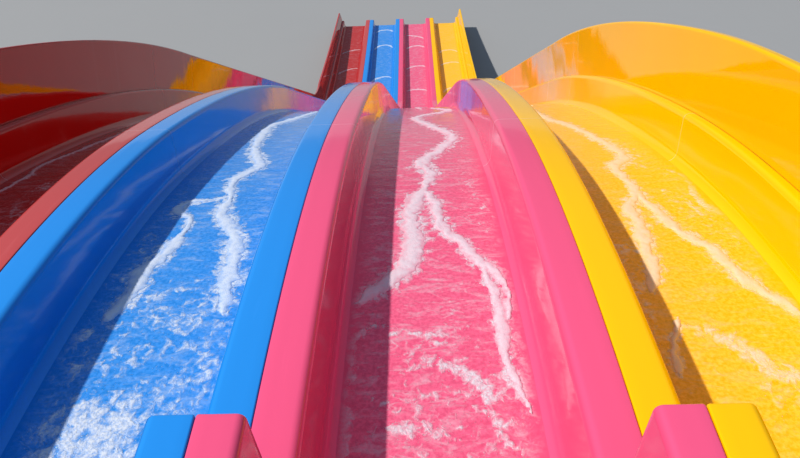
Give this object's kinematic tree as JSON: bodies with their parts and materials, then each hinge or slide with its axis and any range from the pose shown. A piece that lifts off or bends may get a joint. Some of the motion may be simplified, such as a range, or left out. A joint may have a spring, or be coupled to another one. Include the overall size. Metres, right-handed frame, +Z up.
{
  "type": "multi-lane racer water slide with launch tower",
  "caption": "Racer water slide with side-by-side moulded lanes, tall outer walls, steel portals and a railed launch deck on braced columns.",
  "frame": {"origin": "middle of the bounding box, on the ground under the slide", "axes": "+Z up, +Y from the launch deck down the lanes to the run-out, +X towards the yellow lane, the rider's right"},
  "size_m": [4.15, 24.7992, 10.03],
  "materials": {
    "gelcoat_red": "glossy moulded fibreglass gelcoat, wet",
    "gelcoat_blue": "glossy moulded fibreglass gelcoat, wet",
    "gelcoat_pink": "glossy moulded fibreglass gelcoat, wet",
    "gelcoat_yellow": "glossy moulded fibreglass gelcoat, wet",
    "painted_steel": "satin grey paint over steel",
    "deck_board": "ribbed anti-slip decking"
  },
  "bodies": {
    "root": {"red_tub": "gelcoat_red", "red_brow": "gelcoat_red", "red_chute": "gelcoat_red", "red_run_out": "gelcoat_red", "blue_tub": "gelcoat_blue", "blue_brow": "gelcoat_blue", "blue_chute": "gelcoat_blue", "blue_run_out": "gelcoat_blue", "pink_tub": "gelcoat_pink", "pink_brow": "gelcoat_pink", "pink_chute": "gelcoat_pink", "pink_run_out": "gelcoat_pink", "yellow_tub": "gelcoat_yellow", "yellow_brow": "gelcoat_yellow", "yellow_chute": "gelcoat_yellow", "yellow_run_out": "gelcoat_yellow", "left_wall_tub": "gelcoat_red", "left_wall_brow": "gelcoat_red", "left_wall_chute": "gelcoat_red", "left_wall_bend": "gelcoat_red", "left_wall_run_out": "gelcoat_red", "right_wall_tub": "gelcoat_yellow", "right_wall_brow": "gelcoat_yellow", "right_wall_chute": "gelcoat_yellow", "right_wall_bend": "gelcoat_yellow", "right_wall_run_out": "gelcoat_yellow", "portal_1": "painted_steel", "portal_2": "painted_steel", "portal_3": "painted_steel", "portal_4": "painted_steel", "portal_5": "painted_steel", "portal_6": "painted_steel", "portal_7": "painted_steel", "portal_8": "painted_steel", "tower_frame": "painted_steel", "deck": "deck_board", "tower_column_front_left": "painted_steel", "tower_column_front_right": "painted_steel", "tower_column_rear_left": "painted_steel", "tower_column_rear_right": "painted_steel", "brace_left": "painted_steel", "brace_right": "painted_steel", "brace_rear": "painted_steel", "guard_rail_left": "painted_steel", "guard_rail_right": "painted_steel", "guard_rail_rear_left": "painted_steel", "guard_rail_rear_right": "painted_steel"}
  },
  "joints": []
}
